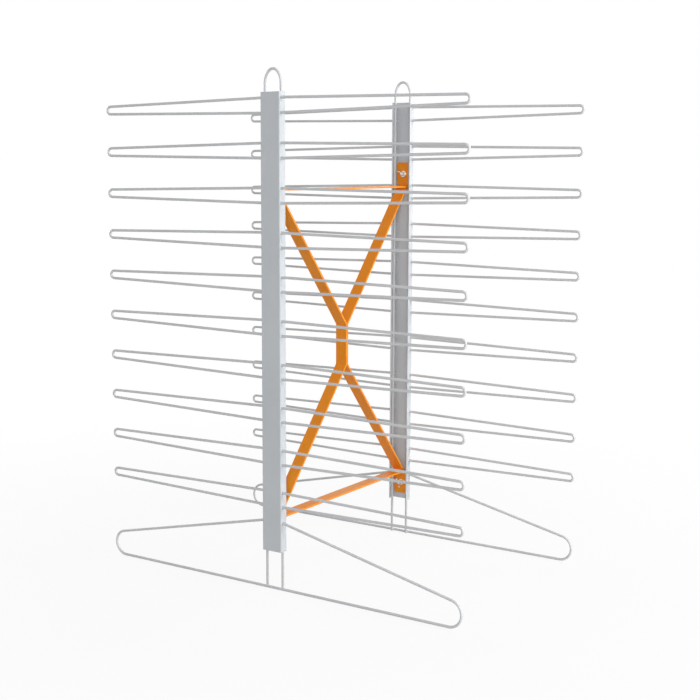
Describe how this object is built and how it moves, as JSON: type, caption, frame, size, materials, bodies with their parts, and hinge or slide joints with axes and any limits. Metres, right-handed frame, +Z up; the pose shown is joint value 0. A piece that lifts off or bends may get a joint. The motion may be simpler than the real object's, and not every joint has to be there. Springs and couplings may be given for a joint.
{
  "type": "art drying rack",
  "caption": "Free-standing wire drying rack: tapered arms at even levels on channel uprights, joined by a folded flat-bar brace.",
  "frame": {"origin": "on the floor under the middle of the rack", "axes": "+Z up, X along the arms to the right seen from the front, +Y from the front frame to the rear frame"},
  "size_m": [1.0132, 0.6048, 1.2195],
  "materials": {
    "white_wire": "satin powder coat",
    "grey_channel": "satin powder coat",
    "orange_bar": "gloss powder coat",
    "zinc_steel": "bright zinc plate"
  },
  "bodies": {
    "rack_frame": {"front_channel": "grey_channel", "rear_channel": "grey_channel", "front_leg_wire": "white_wire", "rear_leg_wire": "white_wire", "front_foot_wire": "white_wire", "rear_foot_wire": "white_wire", "front_left_arm_01": "white_wire", "front_left_arm_02": "white_wire", "front_left_arm_03": "white_wire", "front_left_arm_04": "white_wire", "front_left_arm_05": "white_wire", "front_left_arm_06": "white_wire", "front_left_arm_07": "white_wire", "front_left_arm_08": "white_wire", "front_left_arm_09": "white_wire", "front_left_arm_10": "white_wire", "front_right_arm_01": "white_wire", "front_right_arm_02": "white_wire", "front_right_arm_03": "white_wire", "front_right_arm_04": "white_wire", "front_right_arm_05": "white_wire", "front_right_arm_06": "white_wire", "front_right_arm_07": "white_wire", "front_right_arm_08": "white_wire", "front_right_arm_09": "white_wire", "front_right_arm_10": "white_wire", "rear_left_arm_01": "white_wire", "rear_left_arm_02": "white_wire", "rear_left_arm_03": "white_wire", "rear_left_arm_04": "white_wire", "rear_left_arm_05": "white_wire", "rear_left_arm_06": "white_wire", "rear_left_arm_07": "white_wire", "rear_left_arm_08": "white_wire", "rear_left_arm_09": "white_wire", "rear_left_arm_10": "white_wire", "rear_right_arm_01": "white_wire", "rear_right_arm_02": "white_wire", "rear_right_arm_03": "white_wire", "rear_right_arm_04": "white_wire", "rear_right_arm_05": "white_wire", "rear_right_arm_06": "white_wire", "rear_right_arm_07": "white_wire", "rear_right_arm_08": "white_wire", "rear_right_arm_09": "white_wire", "rear_right_arm_10": "white_wire", "top_brace_bar": "orange_bar", "bottom_brace_bar": "orange_bar", "front_brace_strap": "orange_bar", "rear_brace_strap": "orange_bar", "weld_studs": "zinc_steel", "stud_washers": "zinc_steel"},
    "front_top_wing_nut": {"front_top_wing_nut": "zinc_steel"},
    "front_bottom_wing_nut": {"front_bottom_wing_nut": "zinc_steel"},
    "rear_top_wing_nut": {"rear_top_wing_nut": "zinc_steel"},
    "rear_bottom_wing_nut": {"rear_bottom_wing_nut": "zinc_steel"}
  },
  "joints": [
    {"name": "front_top_nut_turn", "type": "hinge", "parent": "rack_frame", "child": "front_top_wing_nut", "pos_m": [0, -0.29, 0.9783], "axis": [0, 1, 0], "continuous": true},
    {"name": "front_bottom_nut_turn", "type": "hinge", "parent": "rack_frame", "child": "front_bottom_wing_nut", "pos_m": [0, -0.29, 0.13997], "axis": [0, 1, 0], "continuous": true},
    {"name": "rear_top_nut_turn", "type": "hinge", "parent": "rack_frame", "child": "rear_top_wing_nut", "pos_m": [0, 0.29, 0.9783], "axis": [0, -1, 0], "continuous": true},
    {"name": "rear_bottom_nut_turn", "type": "hinge", "parent": "rack_frame", "child": "rear_bottom_wing_nut", "pos_m": [0, 0.29, 0.13997], "axis": [0, -1, 0], "continuous": true}
  ]
}
